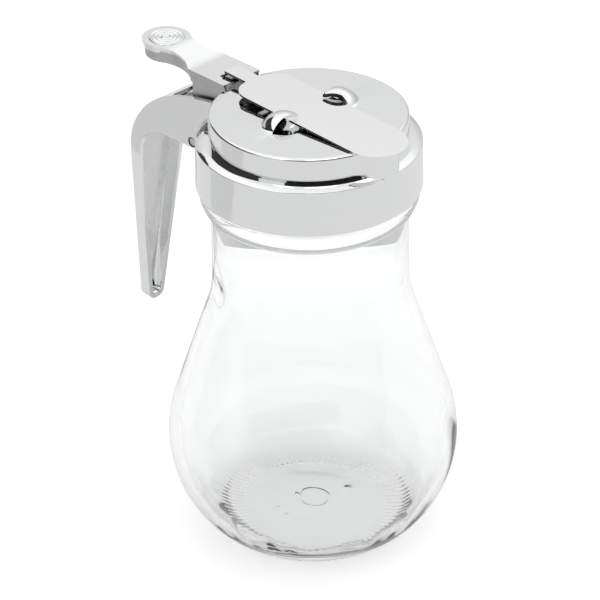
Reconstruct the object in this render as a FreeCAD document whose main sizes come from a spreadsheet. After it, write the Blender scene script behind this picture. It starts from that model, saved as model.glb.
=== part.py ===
"""Glass syrup dispenser with a screw-on plated head, a thumb lever and a sliding gate.

The jar stands on the XY plane with its axis on Z.  The spout points along +X and the
handle along -X.  Every driving dimension is a cell of the sheet "Sizes", in millimetres
and degrees.  Heights are measured up from the table and reaches out from the jar's axis.
"""
import FreeCAD, Part
import math
import os
import Sketcher

SIZES = [
    # the glass jar
    ("belly_radius", 46.65), ("belly_height", 32.6), ("belly_curve", 40.0),
    ("neck_radius", 31.1), ("shoulder_rise", 59.5), ("neck_curve", 40.0), ("neck_length", 41.9),
    ("heel_curve", 5.0), ("foot_width", 3.2), ("push_up", 1.6),
    ("glass_wall", 3.0), ("base_thickness", 6.5), ("floor_curve", 9.0),
    ("bead_width", 3.3), ("bead_height", 8.0), ("bead_curve", 9.0), ("bead_round", 0.8),
    ("finish_step", 0.5), ("finish_height", 12.1), ("rim_round", 0.8),
    # the turned part of the head: collar, ledge, drum and lid
    ("bore_clearance", 1.0), ("collar_wall", 2.4), ("collar_draft", 0.25), ("collar_gap", 0.4),
    ("collar_above", 3.3), ("collar_round", 0.8), ("ledge_width", 4.1), ("ledge_rise", 0.9),
    ("ledge_curve", 9.0), ("ridge_inset", 2.3), ("ridge_step", 0.3), ("ridge_width", 0.4),
    ("drum_wall", 2.0), ("drum_height", 12.5), ("lid_wall", 2.5), ("lid_round", 1.0),
    # the spout
    ("nose_setback", 8.2), ("nose_radius", 8.5), ("spout_wall", 1.8), ("spout_blend", 5.0),
    ("spout_floor", 2.4), ("mouth_shift", 2.4), ("mouth_radius", 4.0), ("spout_root", 8.0),
    # the recess for the lever behind the drum
    ("flat_depth", 3.1), ("lever_gap", 0.38), ("slot_behind_pin", 10.0), ("slot_drop", 8.0),
    ("notch_half_width", 5.1), ("notch_reach", 5.3), ("notch_depth", 3.0),
    # the two gate hooks
    ("hook_place", 0.8), ("hook_offset", 1.2), ("pocket_radius", 6.75), ("pocket_depth", 3.4),
    ("hook_radius", 7.1), ("hook_rise", 4.2), ("hook_wall", 1.1), ("hook_front", 1.8),
    ("hook_back", 3.4), ("hook_tip", 4.1), ("hook_sink", 0.4), ("cup_wall", 1.6),
    # the gate
    ("gate_half_width", 10.0), ("gate_overhang", 3.4), ("gate_thickness", 0.7),
    ("gate_rise", 1.05), ("gate_tilt", 2.29), ("gate_shoulder", 3.2), ("gate_corner", 7.0),
    ("tongue_half_width", 2.8), ("tab_half_width", 3.8), ("tab_drop", 4.6),
    ("gate_clearance", 0.05), ("hook_clearance", 0.35), ("side_clearance", 0.3),
    # the thumb lever
    ("lever_set_off", 1.7), ("lever_half_width", 7.72), ("lever_rise", 1.45),
    ("flat_slope", 0.6), ("ramp_place", 3.0), ("ramp_length", 11.0), ("ramp_curve", 26.0),
    ("pad_rise", 3.65), ("pad_slope", 1.5), ("lever_plate", 1.2), ("lever_edge", 0.85),
    ("lever_band", 1.15), ("lever_lip", 0.4), ("lever_wall", 1.3),
    ("waist_place", 10.5), ("waist_half_width", 4.8), ("pad_place", 21.0), ("pad_radius", 7.9),
    ("skirt_drop", 0.7), ("skirt_shoulder", 2.9), ("cheek_behind", 1.7), ("cheek_drop", 4.2),
    ("cheek_play", 0.8),
    ("ear_radius", 2.4), ("ring_pitch", 1.33), ("ring_height", 0.35), ("ring_width", 0.5),
    ("ring_root", 0.05), ("slit_width", 1.75), ("slit_place", 4.1), ("slit_half_width", 4.15),
    ("slit_play", 0.25),
    # the handle
    ("arm_wall", 1.5), ("arm_step", 0.3), ("arm_top_drop", 4.6), ("arm_curve", 130.0),
    ("crest_angle", 15.5), ("bend_before_pin", 1.7), ("bend_drop", 40.6), ("bend_radius", 33.0),
    ("inner_bend", 11.0), ("grip_flare", 5.5), ("grip_depth", 5.7), ("grip_length", 96.0),
    ("grip_top_drop", 36.0), ("grip_top_half_width", 9.9), ("grip_tip_half_width", 2.9),
    ("grip_top_splay", 9.0), ("grip_tip_splay", 3.0), ("web", 1.7), ("arm_root", 0.5),
    ("handle_round", 1.6), ("tip_round", 2.6), ("channel_tip_round", 1.2),
    # the pivot pin
    ("pin_place", 15.2), ("pin_drop", 22.5), ("pin_radius", 1.25), ("pin_play", 0.05),
    ("pin_sink", 0.25), ("pin_countersink", 0.45),
]

# Sizes that follow from the driving ones, so that what fits together stays together.
FOLLOWING = {
    "rim_height": "belly_height + shoulder_rise + neck_length",
    "neck_start": "belly_height + shoulder_rise",
    "finish_radius": "neck_radius + finish_step",
    "bead_radius": "neck_radius + bead_width",
    "bead_top": "rim_height - finish_height",
    "bead_foot": "bead_top - bead_height",
    "bore_radius": "finish_radius + bore_clearance",
    "collar_radius": "bore_radius + collar_wall",
    "collar_foot_radius": "collar_radius + collar_draft",
    "collar_foot": "bead_top + collar_gap",
    "collar_height": "rim_height + collar_above",
    "ridge_radius": "collar_radius - ridge_inset",
    "drum_radius": "collar_radius - ledge_width",
    "drum_flat": "drum_radius - flat_depth",
    "lid_height": "rim_height + drum_height",
    "nose_centre": "collar_radius - nose_setback",
    "mouth_centre": "nose_centre + mouth_shift",
    "gate_nose": "collar_radius + gate_overhang - gate_half_width",
    "gate_back": "drum_flat - gate_shoulder",
    "hook_spread": "gate_half_width + hook_offset",
    "lever_front": "drum_flat + lever_set_off",
    "tab_reach": "lever_front + slit_place",
    "pin_reach": "drum_flat + pin_place",
    "pin_height": "lid_height - pin_drop",
    "pad_centre": "pin_reach + pad_place",
    "cheek_back": "pin_reach + cheek_behind",
    "ramp_foot": "pin_reach + ramp_place",
    "ramp_head": "ramp_foot + ramp_length",
    "lever_end": "pad_centre + pad_radius + 1",
    "slot_half_width": "lever_half_width + lever_gap",
    "slot_end": "pin_reach + slot_behind_pin",
    "arm_half_width": "slot_half_width + arm_wall",
    "arm_underside": "collar_foot - arm_step",
    "bend_reach": "pin_reach - bend_before_pin",
    "bend_height": "lid_height - bend_drop",
    "grip_tip": "lid_height - grip_length",
}

doc = FreeCAD.newDocument("SyrupDispenser")
sheet = doc.addObject("Spreadsheet::Sheet", "Sizes")
for row, (alias, size) in enumerate(SIZES, start=1):
    sheet.set("A%d" % row, alias)
    sheet.set("B%d" % row, str(size))
    sheet.setAlias("B%d" % row, alias)
doc.recompute()
ALIASES = [alias for alias, size in SIZES]


def expr(text):
    """Turn a formula of named sizes into one of the sheet's cells."""
    word, out = "", ""
    for letter in text + " ":
        if letter.isalnum() or letter == "_":
            word += letter
            continue
        if word in FOLLOWING:
            word = "(%s)" % expr(FOLLOWING[word])
        out += ("Sizes." + word if word in ALIASES else word) + letter
        word = ""
    return out.strip()


def value(text):
    """Give the number that a formula stands for."""
    return float(sheet.evalExpression(expr(text)))


def vector(x=0.0, y=0.0, z=0.0):
    return FreeCAD.Vector(x, y, z)


# Sketch planes: the turned profiles lie in XZ, plans in XY, and what lies behind the jar's
# axis is drawn on a plane whose first axis points along -X, so that a reach is positive.
TURNED = FreeCAD.Rotation(vector(1, 0, 0), vector(0, 0, 1), vector(0, -1, 0), "ZXY")
BEHIND = FreeCAD.Rotation(vector(-1, 0, 0), vector(0, 0, 1), vector(0, 1, 0), "ZXY")
PLAN = FreeCAD.Rotation()
PLAN_BEHIND = FreeCAD.Rotation(vector(-1, 0, 0), vector(0, -1, 0), vector(0, 0, 1), "ZXY")


def place(thing, base=None, turn=None):
    """Bind an object's placement: base gives formulas, turn an axis and an angle formula."""
    for axis, text in (base or {}).items():
        thing.setExpression("Placement.Base." + axis, expr(text))
    if turn:
        thing.Placement.Rotation = FreeCAD.Rotation(turn[0], value(turn[1]))
        thing.setExpression("Placement.Rotation.Angle", expr(turn[1]))
    return thing


def new_sketch(name, plane, body=None):
    if body is None:
        sketch = doc.addObject("Sketcher::SketchObject", name)
        sketch.Placement = FreeCAD.Placement(vector(), plane)
        return sketch
    sketch = body.newObject("Sketcher::SketchObject", name)
    role = next(item for item in body.Origin.OriginFeatures if item.Role == plane)
    sketch.AttachmentSupport = [(role, "")]
    sketch.MapMode = "FlatFace"
    return sketch


def bind(sketch, kind, label, text, *items):
    """Add a constraint whose size follows a formula."""
    number = sketch.addConstraint(Sketcher.Constraint(kind, *items, value(text)))
    sketch.renameConstraint(number, label)
    sketch.setExpression("Constraints." + label, expr(text))


def bind_point(sketch, label, geometry, end, x, y):
    bind(sketch, "DistanceX", label + "_x", x, -1, 1, geometry, end)
    bind(sketch, "DistanceY", label + "_y", y, -1, 1, geometry, end)


def arc_between(start, end, radius):
    """Arc that turns left for a positive radius and right for a negative one."""
    middle = (start + end) * 0.5
    half = (end - start).Length * 0.5
    across = vector(start.y - end.y, end.x - start.x).normalize()
    side = math.copysign(1.0, radius)
    centre = middle + across * side * math.sqrt(max(radius * radius - half * half, 0.0))
    circle = Part.Circle(centre, vector(0, 0, 1), abs(radius))
    first, last = (start, end) if radius > 0 else (end, start)
    angles = [math.atan2(point.y - centre.y, point.x - centre.x) for point in (first, last)]
    return Part.ArcOfCircle(circle, angles[0], angles[1])


def outline(name, plane, steps, body=None):
    """Draw a closed outline whose corners and radii follow formulas.

    A step is (x, y), (x, y, "round", radius) for a rounded corner between two straight
    runs, or (x, y, "arc", radius) for a corner that an arc leads to.
    """
    sketch = new_sketch(name, plane, body)
    corners = [vector(value(step[0]), value(step[1])) for step in steps]
    count = len(steps)
    kinds = [step[2] if len(step) > 2 else "" for step in steps]
    starts, ends, rounds = list(corners), list(corners), {}
    for i in range(count):
        if kinds[i] == "round":
            before = (corners[i - 1] - corners[i]).normalize()
            after = (corners[(i + 1) % count] - corners[i]).normalize()
            half = before.getAngle(after) / 2.0
            run = value(steps[i][3]) / math.tan(half)
            ends[i] = corners[i] + before * run
            starts[i] = corners[i] + after * run
            turn = (corners[i] - corners[i - 1]).cross(corners[(i + 1) % count] - corners[i]).z
            rounds[i] = math.copysign(value(steps[i][3]), turn)
    pieces = []
    for i in range(count):
        j = (i + 1) % count
        if kinds[j] == "arc":
            radius = value(steps[j][3])
            number = sketch.addGeometry(arc_between(starts[i], ends[j], radius), False)
            bind(sketch, "Radius", "arc_%d" % j, "abs(%s)" % steps[j][3], number)
            pieces.append((number, 1, 2) if radius > 0 else (number, 2, 1))
        else:
            number = sketch.addGeometry(Part.LineSegment(starts[i], ends[j]), False)
            pieces.append((number, 1, 2))
    for i in range(count):
        into, out = pieces[i - 1], pieces[i]
        if kinds[i] == "round":
            curve = arc_between(ends[i], starts[i], rounds[i])
            number = sketch.addGeometry(curve, False)
            first, last = (1, 2) if rounds[i] > 0 else (2, 1)
            sketch.addConstraint(Sketcher.Constraint("Tangent", into[0], into[2], number, first))
            sketch.addConstraint(Sketcher.Constraint("Tangent", number, last, out[0], out[1]))
            bind(sketch, "Radius", "round_%d" % i, steps[i][3], number)
            mark = sketch.addGeometry(Part.Point(corners[i]), True)
            sketch.addConstraint(Sketcher.Constraint("PointOnObject", mark, 1, into[0]))
            sketch.addConstraint(Sketcher.Constraint("PointOnObject", mark, 1, out[0]))
            bind_point(sketch, "corner_%d" % i, mark, 1, steps[i][0], steps[i][1])
        else:
            sketch.addConstraint(
                Sketcher.Constraint("Coincident", into[0], into[2], out[0], out[1]))
            bind_point(sketch, "corner_%d" % i, out[0], out[1], steps[i][0], steps[i][1])
    return sketch


def extrude(name, sketch, direction, length, symmetric=False, start=None):
    """Extrude a sketch along a row axis, from a start height if one is given."""
    solid = doc.addObject("Part::Extrusion", name)
    solid.Base = sketch
    solid.DirMode = "Custom"
    solid.Dir = direction
    solid.setExpression("LengthFwd", expr(length))
    solid.Symmetric = symmetric
    solid.Solid = True
    if start:
        place(solid, {"z": start})
    return solid


def revolve(name, sketch):
    solid = doc.addObject("Part::Revolution", name)
    solid.Source = sketch
    solid.Axis = vector(0, 0, 1)
    solid.Angle = 360
    solid.Solid = True
    return solid


def box(name, lows, sizes, turn=None):
    """Box with formulas for its low corner and its sizes."""
    solid = doc.addObject("Part::Box", name)
    for side, text in zip(("Length", "Width", "Height"), sizes):
        solid.setExpression(side, expr(text))
    return place(solid, dict(zip("xyz", lows)), turn)


def cylinder(name, radius, height, base, along_y=False):
    solid = doc.addObject("Part::Cylinder", name)
    solid.setExpression("Radius", expr(radius))
    solid.setExpression("Height", expr(height))
    if along_y:
        solid.Placement.Rotation = FreeCAD.Rotation(vector(1, 0, 0), -90)
    return place(solid, dict(zip("xyz", base)))


def sphere(name, radius, base):
    solid = doc.addObject("Part::Sphere", name)
    solid.setExpression("Radius", expr(radius))
    return place(solid, dict(zip("xyz", base)))


def fuse(name, shapes):
    joined = doc.addObject("Part::MultiFuse", name)
    joined.Shapes = shapes
    joined.Refine = True
    return joined


def common(name, shapes):
    shared = doc.addObject("Part::MultiCommon", name)
    shared.Shapes = shapes
    return shared


def cut(name, base, tool):
    rest = doc.addObject("Part::Cut", name)
    rest.Base = base
    rest.Tool = tool
    return rest


def fillet(name, base, radius, choose):
    """Round the edges that choose() picks."""
    doc.recompute()
    rounded = doc.addObject("Part::Fillet", name)
    rounded.Base = base
    size = value(radius)
    edges = base.Shape.Edges
    rounded.Edges = [(i + 1, size, size) for i, edge in enumerate(edges) if choose(edge)]
    return rounded


# ---------------------------------------------------------------- the glass jar
def wall_run(sketch, tag, wall, heel, heel_level):
    """Side of the jar from the heel to the neck, in four pieces that touch smoothly.

    wall is how far inside the outer surface it runs.  The belly bulges outwards, the
    shoulder is straight and the neck's foot curves the other way.
    """
    inset = value(wall)
    belly = vector(value("belly_radius - belly_curve"), value("belly_height"))
    belly_size = value("belly_curve") - inset
    neck = vector(value("neck_radius + neck_curve"), value("neck_start"))
    neck_size = value("neck_curve") + inset
    line = neck - belly
    lean = math.atan2(line.y, line.x) - math.acos((belly_size + neck_size) / line.Length)
    facing = vector(math.cos(lean), math.sin(lean))
    heel_size, level = value(heel), value(heel_level)
    drop = belly.y - level - heel_size
    heel_centre = vector(
        belly.x + math.sqrt((belly_size - heel_size) ** 2 - drop ** 2), level + heel_size)
    heel_angle = math.atan2(heel_centre.y - belly.y, heel_centre.x - belly.x)

    def arc(centre, size, first, last):
        circle = Part.Circle(centre, vector(0, 0, 1), size)
        return sketch.addGeometry(Part.ArcOfCircle(circle, first, last), False)

    heel_arc = arc(heel_centre, heel_size, -math.pi / 2, heel_angle)
    belly_arc = arc(belly, belly_size, heel_angle, lean)
    shoulder = sketch.addGeometry(
        Part.LineSegment(belly + facing * belly_size, neck - facing * neck_size), False)
    neck_arc = arc(neck, neck_size, math.pi, math.pi + lean)
    tangent = [(heel_arc, 2, belly_arc, 1), (belly_arc, 2, shoulder, 1), (shoulder, 2, neck_arc, 2)]
    for joint in tangent:
        sketch.addConstraint(Sketcher.Constraint("Tangent", *joint))
    bind(sketch, "Radius", tag + "_heel", heel, heel_arc)
    bind(sketch, "Radius", tag + "_belly", "belly_curve - " + wall, belly_arc)
    bind_point(sketch, tag + "_belly_at", belly_arc, 3, "belly_radius - belly_curve", "belly_height")
    bind(sketch, "Radius", tag + "_neck", "neck_curve + " + wall, neck_arc)
    bind_point(sketch, tag + "_neck_at", neck_arc, 3, "neck_radius + neck_curve", "neck_start")
    return heel_arc, neck_arc


def make_jar():
    """Blown teardrop jar: pushed-up foot, thick base, long neck, bead and plain finish."""
    body = doc.addObject("PartDesign::Body", "JarBody")
    body.Label = "glass_jar"
    sketch = new_sketch("JarProfile", "XZ_Plane", body)

    def line(x0, y0, x1, y1):
        ends = [vector(value(x0), value(y0)), vector(value(x1), value(y1))]
        return sketch.addGeometry(Part.LineSegment(*ends), False)

    outer_heel, outer_neck = wall_run(sketch, "outer", "0", "heel_curve", "0")
    inner_heel, inner_neck = wall_run(
        sketch, "inner", "glass_wall", "floor_curve", "base_thickness")
    heel = sketch.Geometry[outer_heel].Center.x
    ring = heel - value("foot_width")
    rise = value("push_up")
    dome = sketch.addGeometry(
        arc_between(vector(ring), vector(0, rise), (ring ** 2 + rise ** 2) / (2 * rise)), False)
    foot = sketch.addGeometry(Part.LineSegment(vector(ring), vector(heel)), False)
    neck = line("neck_radius", "neck_start", "neck_radius", "bead_foot")
    bead = sketch.addGeometry(arc_between(
        vector(value("neck_radius"), value("bead_foot")),
        vector(value("bead_radius"), value("bead_top - bead_round")),
        value("bead_curve")), False)
    lip = line("bead_radius - bead_round", "bead_top", "finish_radius", "bead_top")
    bevel = line("bead_radius", "bead_top - bead_round", "bead_radius - bead_round", "bead_top")
    finish = line("finish_radius", "bead_top", "finish_radius", "rim_height - rim_round")
    rim_bevel = line("finish_radius", "rim_height - rim_round",
                     "finish_radius - rim_round", "rim_height")
    rim = line("finish_radius - rim_round", "rim_height", "neck_radius - glass_wall", "rim_height")
    bore = line("neck_radius - glass_wall", "rim_height", "neck_radius - glass_wall", "neck_start")
    floor = line("20", "base_thickness", "0", "base_thickness")
    axis = line("0", "base_thickness", "0", "push_up")

    def join(kind, *ends):
        sketch.addConstraint(Sketcher.Constraint(kind, *ends))

    join("Coincident", dome, 1, foot, 1)
    join("Tangent", foot, 2, outer_heel, 1)
    join("Tangent", outer_neck, 1, neck, 1)
    join("Coincident", neck, 2, bead, 1)
    join("Coincident", bead, 2, bevel, 1)
    join("Coincident", bevel, 2, lip, 1)
    join("Coincident", lip, 2, finish, 1)
    join("Coincident", finish, 2, rim_bevel, 1)
    join("Coincident", rim_bevel, 2, rim, 1)
    join("Coincident", rim, 2, bore, 1)
    join("Tangent", bore, 2, inner_neck, 1)
    join("Tangent", inner_heel, 1, floor, 1)
    join("Coincident", floor, 2, axis, 1)
    join("Coincident", axis, 2, dome, 2)
    join("Horizontal", foot)
    join("Horizontal", floor)
    join("Vertical", neck)
    join("Vertical", bore)
    join("PointOnObject", dome, 3, -2)
    bind(sketch, "DistanceX", "foot_ring", "foot_width", foot, 1, foot, 2)
    bind(sketch, "DistanceY", "foot_level", "0", -1, 1, foot, 1)
    bind_point(sketch, "push_at", axis, 2, "0", "push_up")
    bind_point(sketch, "floor_at", axis, 1, "0", "base_thickness")
    bind(sketch, "DistanceY", "bead_foot_at", "bead_foot", -1, 1, bead, 1)
    bind_point(sketch, "bead_at", bead, 2, "bead_radius", "bead_top - bead_round")
    bind(sketch, "DistanceY", "bead_centre", "bead_top - bead_round", -1, 1, bead, 3)
    bind_point(sketch, "lip_at", lip, 1, "bead_radius - bead_round", "bead_top")
    bind_point(sketch, "finish_at", finish, 1, "finish_radius", "bead_top")
    bind_point(sketch, "finish_top", finish, 2, "finish_radius", "rim_height - rim_round")
    bind_point(sketch, "rim_at", rim, 1, "finish_radius - rim_round", "rim_height")
    bind(sketch, "DistanceY", "bore_at", "rim_height", -1, 1, bore, 1)
    turned = body.newObject("PartDesign::Revolution", "JarTurned")
    turned.Profile = sketch
    turned.ReferenceAxis = (sketch, ["V_Axis"])
    turned.Angle = 360
    body.Tip = turned
    return body


# ---------------------------------------------------------------- the head
def make_turned_head():
    """Collar, ledge with its thin ridge, drum wall and flat lid, as one turned solid."""
    return revolve("HeadTurned", outline("HeadOutline", TURNED, [
        ("0", "collar_foot"),
        ("collar_foot_radius", "collar_foot", "round", "collar_round"),
        ("collar_radius", "collar_height"),
        ("ridge_radius", "collar_height + ledge_rise", "arc", "ledge_curve"),
        ("ridge_radius - ridge_width", "collar_height + ledge_rise"),
        ("ridge_radius - ridge_width", "collar_height + ledge_rise - ridge_step"),
        ("drum_radius", "collar_height + ledge_rise - ridge_step"),
        ("drum_radius", "lid_height", "round", "lid_round"),
        ("0", "lid_height"),
    ]))


def make_cavity():
    """Space inside the head: the bore round the jar's finish, and the drum above it."""
    return revolve("HeadCavity", outline("CavityOutline", TURNED, [
        ("0", "collar_foot - 1"),
        ("bore_radius", "collar_foot - 1"),
        ("bore_radius", "rim_height"),
        ("drum_radius - drum_wall", "rim_height"),
        ("drum_radius - drum_wall", "lid_height - lid_wall"),
        ("0", "lid_height - lid_wall"),
    ]))


def nose_plan(name, inset):
    """Plan of the spout: sides that reach back into the drum and a full round nose."""
    half = "nose_radius - " + inset
    return outline(name, PLAN, [
        ("nose_centre - spout_root", "-(%s)" % half),
        ("nose_centre", "-(%s)" % half),
        ("nose_centre + %s" % half, "0", "arc", half),
        ("nose_centre", half, "arc", half),
        ("nose_centre - spout_root", half),
    ])


def blend_plan():
    """Plan of the two hollow curves that lead the drum's wall out to the nose."""
    drum, nose = "(drum_radius + spout_blend)", "(nose_radius + spout_blend)"
    far = "((%s^2 - %s^2 + nose_centre^2) / (2 * nose_centre))" % (drum, nose)
    side = "sqrt(%s^2 - %s^2)" % (drum, far)
    drum_x = "(%s * drum_radius / %s)" % (far, drum)
    drum_y = "(%s * drum_radius / %s)" % (side, drum)
    nose_x = "(nose_centre + (%s - nose_centre) * nose_radius / %s)" % (far, nose)
    nose_y = "(%s * nose_radius / %s)" % (side, nose)
    return outline("SpoutBlendPlan", PLAN, [
        ("nose_centre - spout_root", "-" + drum_y),
        (drum_x, "-" + drum_y),
        (nose_x, "-" + nose_y, "arc", "-spout_blend"),
        (nose_x, nose_y),
        (drum_x, drum_y, "arc", "-spout_blend"),
        ("nose_centre - spout_root", drum_y),
    ])


def make_spout():
    """Spout that stands out of the drum and is flush with the collar in front."""
    floor, rise = "collar_height - 2", "lid_height - collar_height + 2"
    up = vector(0, 0, 1)
    nose = extrude("SpoutNose", nose_plan("SpoutPlan", "0"), up, rise, start=floor)
    blend = extrude("SpoutBlend", blend_plan(), up, rise, start=floor)
    front = cylinder("SpoutFront", "collar_radius", rise, ("0", "0", floor))
    return common("Spout", [fuse("SpoutWhole", [nose, blend]), front])


def back_line(level, inset="0"):
    """Reach of the grip's straight back at a level; the line touches the bend's circle."""
    return ("(bend_reach + (bend_radius - %s) / cos(grip_flare)"
            " + (bend_height - %s) * tan(grip_flare))" % (inset, level))


def handle_side(name, inset, depth, drop):
    """Side view of the handle.

    inset moves the top, the back and the tip inwards, depth is how deep the grip is, and
    drop lowers the underside of the arm.
    """
    bend = "(bend_radius - %s)" % inset
    under, tip = "(arm_underside - %s)" % drop, "(grip_tip + %s)" % inset
    root = "drum_flat + arm_root"
    return outline(name, BEHIND, [
        (root, under),
        (back_line(under) + " - " + depth, under, "round", "inner_bend"),
        (back_line(tip) + " - " + depth, tip),
        (back_line(tip, inset), tip),
        ("bend_reach + %s * cos(grip_flare)" % bend, "bend_height + %s * sin(grip_flare)" % bend),
        ("bend_reach + %s * sin(crest_angle)" % bend,
         "bend_height + %s * cos(crest_angle)" % bend, "arc", bend),
        (root, "lid_height - arm_top_drop - %s" % inset, "arc", "arm_curve"),
    ])


def handle_taper(name, inset):
    """Wedge that bounds the handle's sides: it narrows to the tip and to the back."""
    slope = "(grip_top_half_width - grip_tip_half_width) / (grip_length - grip_top_drop)"
    tip_half = "(grip_tip_half_width - %s)" % inset
    top_half = "(%s + %s * grip_length)" % (tip_half, slope)
    sections = []
    for tag, level, half, splay in (("Top", "lid_height", top_half, "grip_top_splay"),
                                    ("Tip", "grip_tip", tip_half, "grip_tip_splay")):
        run = "(%s - grip_depth - drum_flat)" % back_line(level)
        front = "(%s + %s * tan(%s))" % (half, run, splay)
        back = "(%s - (grip_depth + arm_root) * tan(%s))" % (half, splay)
        far = back_line(level) + " + arm_root"
        section = outline(name + tag, PLAN_BEHIND, [
            ("drum_flat", "-" + front), (far, "-" + back), (far, back), ("drum_flat", front)])
        sections.append(place(section, {"z": level}))
    wedge = doc.addObject("Part::Loft", name)
    wedge.Sections = sections
    wedge.Solid = True
    wedge.Ruled = True
    return wedge


def at_tip(edge):
    """Pick the two edges that run from front to back along the sides of the grip's tip."""
    bounds = edge.BoundBox
    low = bounds.ZMax < value("grip_tip + 2 * web")
    return low and bounds.ZLength < 0.1 and bounds.YLength < 0.5 * bounds.XLength


def behind(edge):
    """Tell whether an edge lies on the handle's top, bend or back."""
    middle = edge.valueAt((edge.FirstParameter + edge.LastParameter) / 2)
    reach, level = -middle.x, middle.z
    if level < value("bend_height"):
        return reach > value(back_line("(%.3f)" % level)) - 0.5
    away = math.hypot(reach - value("bend_reach"), level - value("bend_height"))
    return away > value("bend_radius") - 0.5 and reach > value("drum_flat + arm_root + 0.1")


def on_slab(edge):
    """Pick the edges of the slab's two sides round its top, bend and back."""
    return edge.BoundBox.YLength < 0.1 and behind(edge)


def on_grip(edge):
    """Pick the edges round the grip's back, below the bend and along the tip."""
    return edge.BoundBox.ZMax < value("bend_height + arm_wall") and behind(edge) and (
        edge.BoundBox.YLength < value("arm_half_width"))


def make_handle():
    """Channel-shaped handle: arm over the back, bend, and a tapered grip open to the jar."""
    across = vector(0, 1, 0)
    slab = extrude("HandleSide", handle_side("HandleOutline", "0", "grip_depth", "0"),
                   across, "2 * arm_half_width", True)
    grip = common("HandleGrip", [slab, handle_taper("HandleTaper", "0")])
    grip = fillet("GripTip", grip, "tip_round", at_tip)
    outer = common("HandleOuter", [
        fillet("GripRounded", grip, "handle_round", on_grip),
        fillet("SlabRounded", slab, "handle_round", on_slab)])
    inner_side = extrude("ChannelSide", handle_side("ChannelOutline", "web", "2 * grip_depth", "web"),
                         across, "2 * (arm_half_width - arm_wall)", True)
    inner = common("HandleInner", [inner_side, handle_taper("ChannelTaper", "arm_wall")])
    inner = fillet("ChannelTip", inner, "channel_tip_round", at_tip)
    return cut("Handle", outer, inner)


def make_hook(name, turned):
    """Hood that stands in its pocket and curls over the gate's edge.

    It is a piece of a thin dome, cut square towards the spout and slanted over the gate.
    The second hook is the first turned half round between them.
    """
    dome = "((hook_radius^2 + hook_rise^2) / (2 * hook_rise))"
    centre = ("hook_place", "-hook_spread", "lid_height + hook_rise - " + dome)
    shell = cut(name + "Shell", sphere(name + "Outer", dome, centre),
                sphere(name + "Inner", dome + " - hook_wall", centre))
    edge = "-gate_half_width - side_clearance"
    plan = outline(name + "Plan", PLAN, [
        ("hook_place - " + dome, "-hook_spread - " + dome),
        ("hook_place + hook_front", "-hook_spread - " + dome),
        ("hook_place + hook_front", "-hook_spread + hook_tip"),
        ("hook_place - hook_back", edge),
        ("hook_place - " + dome, edge),
    ])
    column = extrude(name + "Column", plan, vector(0, 0, 1), "pocket_depth + hook_rise + 1",
                     start="lid_height - pocket_depth - hook_sink")
    under = box(name + "Under", ("hook_place - " + dome, edge, "lid_height - pocket_depth"),
                ("2 * " + dome, "hook_spread", "pocket_depth + gate_rise + gate_thickness"))
    hook = cut(name, common(name + "Hood", [shell, column]), under)
    if turned:
        hook.Placement.Rotation = FreeCAD.Rotation(vector(0, 0, 1), 180)
        place(hook, {"x": "2 * hook_place"})
    return hook


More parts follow.
